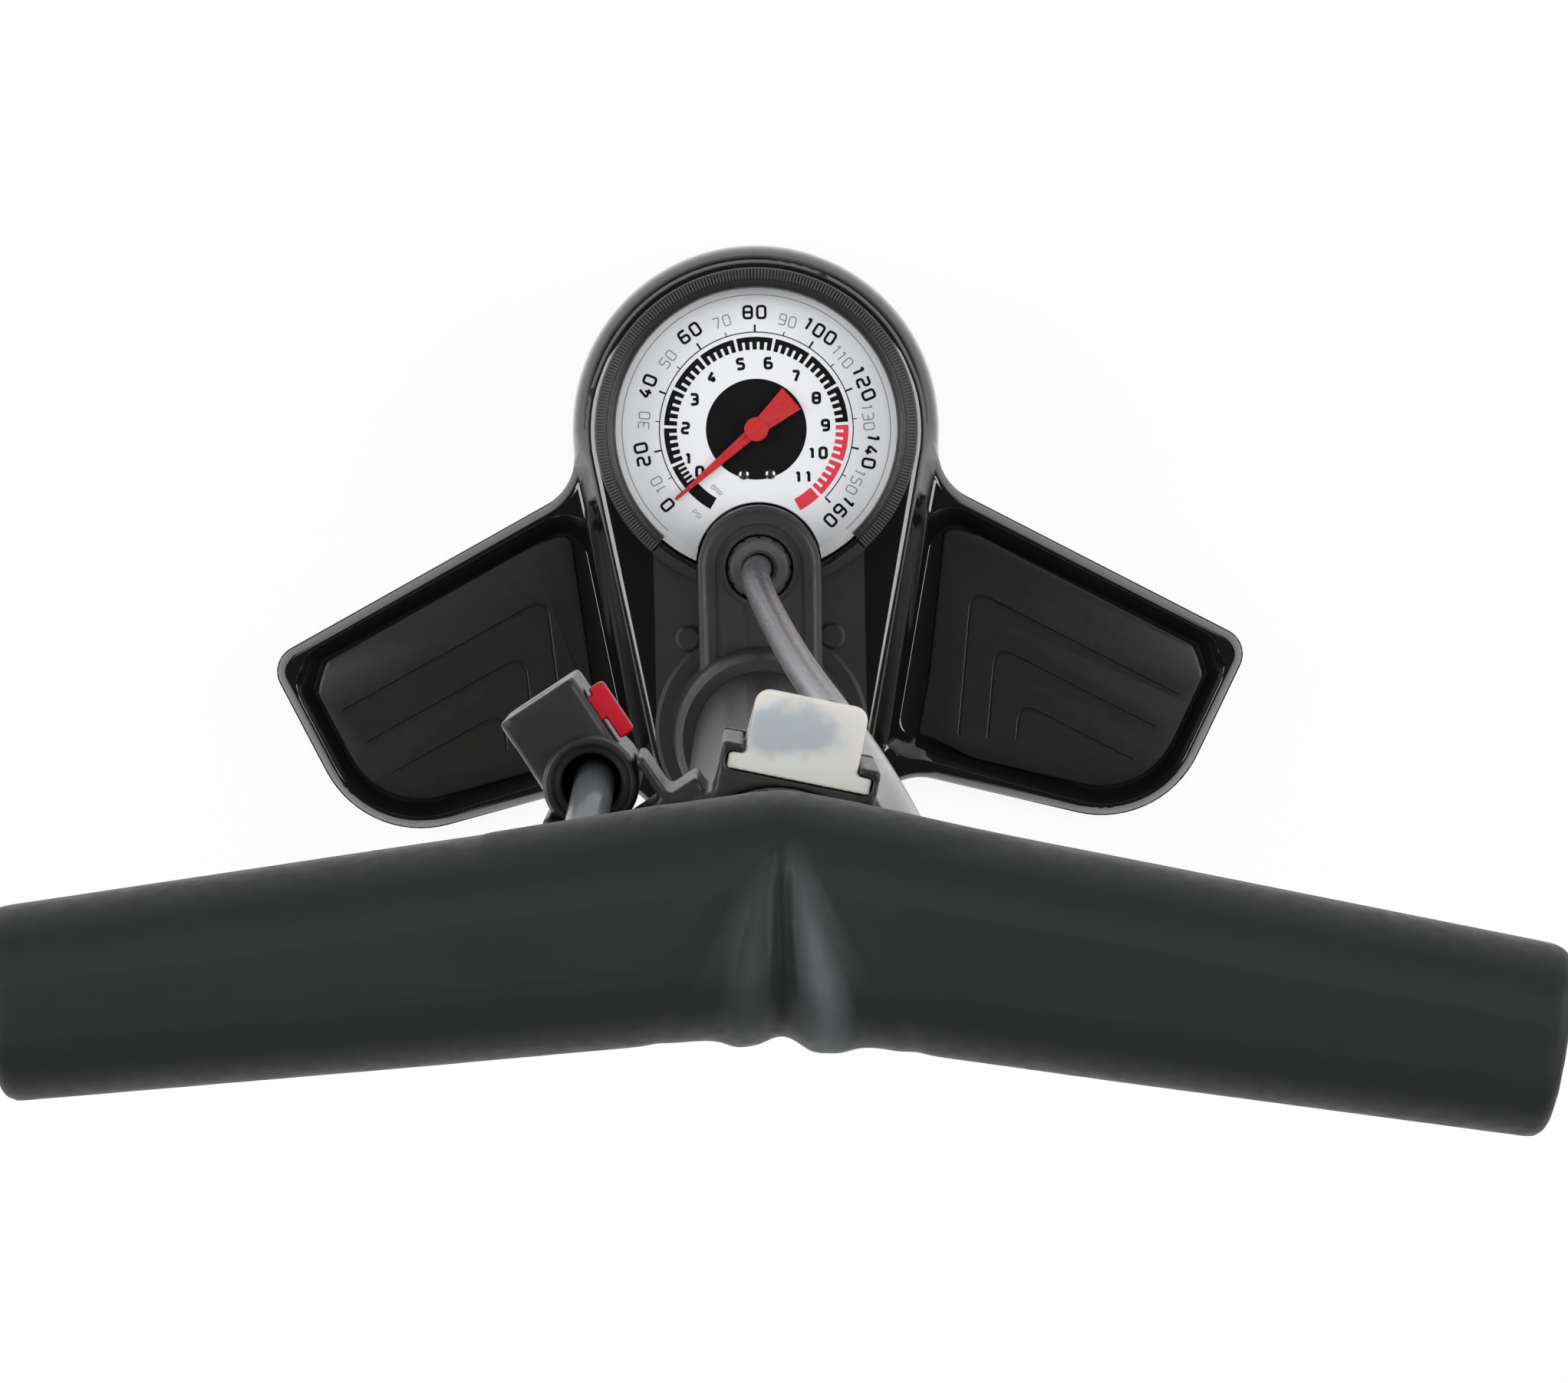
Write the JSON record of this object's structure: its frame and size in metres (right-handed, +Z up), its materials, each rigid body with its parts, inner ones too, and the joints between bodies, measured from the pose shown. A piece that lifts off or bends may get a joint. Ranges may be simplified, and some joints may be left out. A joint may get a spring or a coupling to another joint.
{
  "type": "floor bike pump",
  "caption": "Floor pump for bicycle tyres: pressed winged base, pressure gauge, steel barrel, T handle, hose with a push-on valve head and a clipped box of adaptors.",
  "frame": {"origin": "on the floor, under the barrel's axis", "axes": "+Z up the barrel, +Y from the barrel to the gauge, +X to the right of someone who stands behind the barrel and looks at the gauge"},
  "size_m": [0.2546, 0.1622, 0.6311],
  "materials": {
    "base_steel": "satin dark paint on pressed steel",
    "pad_rubber": "matt rubber tread",
    "foot_rubber": "matt",
    "screw_steel": "plated",
    "housing_plastic": "fine satin",
    "barrel_paint": "satin dark grey-brown",
    "cap_plastic": "satin",
    "alloy": "turned",
    "bright_steel": "polished",
    "brass": "turned",
    "seal_rubber": "moulded",
    "ring_plastic": "knurled, semi-gloss",
    "lens_clear": "clear",
    "dial_print": "white with a printed scale",
    "needle_red": "gloss red",
    "grip_plastic": "satin charcoal",
    "insert_steel": "as cut",
    "bracket_plastic": "semi-gloss black",
    "box_plastic": "milky",
    "hose_plastic": "greyish, slightly see-through",
    "head_plastic": "semi-gloss black",
    "switch_red": "gloss red",
    "cone_plastic": "satin"
  },
  "bodies": {
    "pump": {"base_plate": "base_steel", "left_foot_pad": "pad_rubber", "right_foot_pad": "pad_rubber", "rubber_feet": "foot_rubber", "base_screws": "screw_steel", "gauge_housing": "housing_plastic", "barrel_end": "alloy", "barrel_end_ring": "seal_rubber", "valve_spring": "bright_steel", "hose_barb": "brass", "hose_nut": "alloy", "gauge_ring": "ring_plastic", "gauge_lens": "lens_clear", "gauge_dial": "dial_print", "dial_screws": "bright_steel", "bourdon_tube": "brass", "gauge_socket_block": "brass", "movement_base": "brass", "movement_bridge": "brass", "barrel": "barrel_paint", "barrel_cap": "cap_plastic", "rod_bush": "alloy", "rod_wiper": "seal_rubber", "top_bracket": "bracket_plastic", "hose": "hose_plastic", "head_body": "head_plastic", "head_hose_collar": "head_plastic", "head_barb": "brass", "head_seal": "seal_rubber", "head_cap": "head_plastic", "head_core_pin": "brass"},
    "handle": {"piston_rod": "bright_steel", "piston_nut": "screw_steel", "handle_core": "insert_steel", "handle_pin": "screw_steel", "handle_grip": "grip_plastic"},
    "piston": {"piston": "alloy", "piston_seal": "seal_rubber"},
    "needle": {"gauge_needle": "needle_red", "needle_spindle": "brass"},
    "sector": {"sector_gear": "brass"},
    "link": {"bourdon_link": "brass"},
    "valve": {"check_valve": "brass"},
    "switch": {"head_switch": "switch_red"},
    "box": {"adaptor_box": "box_plastic", "ball_needle": "bright_steel", "cone_adaptor": "cone_plastic", "valve_adaptor": "brass"}
  },
  "joints": [
    {"name": "handle_lift", "type": "slide", "parent": "pump", "child": "piston", "axis": [0, 0, 1], "range_m": [0, 0.44]},
    {"name": "handle_turn", "type": "hinge", "parent": "piston", "child": "handle", "pos_m": [0, 0, 0.6], "axis": [0, 0, 1], "continuous": true},
    {"name": "needle_turn", "type": "hinge", "parent": "pump", "child": "needle", "pos_m": [0, 0.077, 0.047], "axis": [0, 0, -1], "range_deg": [0, 260]},
    {"name": "sector_turn", "type": "hinge", "parent": "pump", "child": "sector", "pos_m": [0.0155, 0.0662, 0.0407], "axis": [0, 0, 1], "range_deg": [0, 43.5]},
    {"name": "link_turn", "type": "hinge", "parent": "sector", "child": "link", "pos_m": [0.01997, 0.06299, 0.0417], "axis": [0, 0, -1], "range_deg": [0, 43.5]},
    {"name": "valve_lift", "type": "slide", "parent": "pump", "child": "valve", "axis": [0, 0, 1], "range_m": [0, 0.0015], "stiffness_N_per_m": 60, "deforming": ["valve_spring"]},
    {"name": "switch_push", "type": "slide", "parent": "pump", "child": "switch", "axis": [-0.8443, -0.5358, 0], "range_m": [0, 0.003]},
    {"name": "box_lift", "type": "slide", "parent": "pump", "child": "box", "axis": [0, 0, 1], "range_m": [0, 0.04]}
  ],
  "couplings": [
    {"joint": "sector_turn", "follows": "needle_turn", "ratio": 0.16667},
    {"joint": "link_turn", "follows": "needle_turn", "ratio": 0.16667}
  ]
}
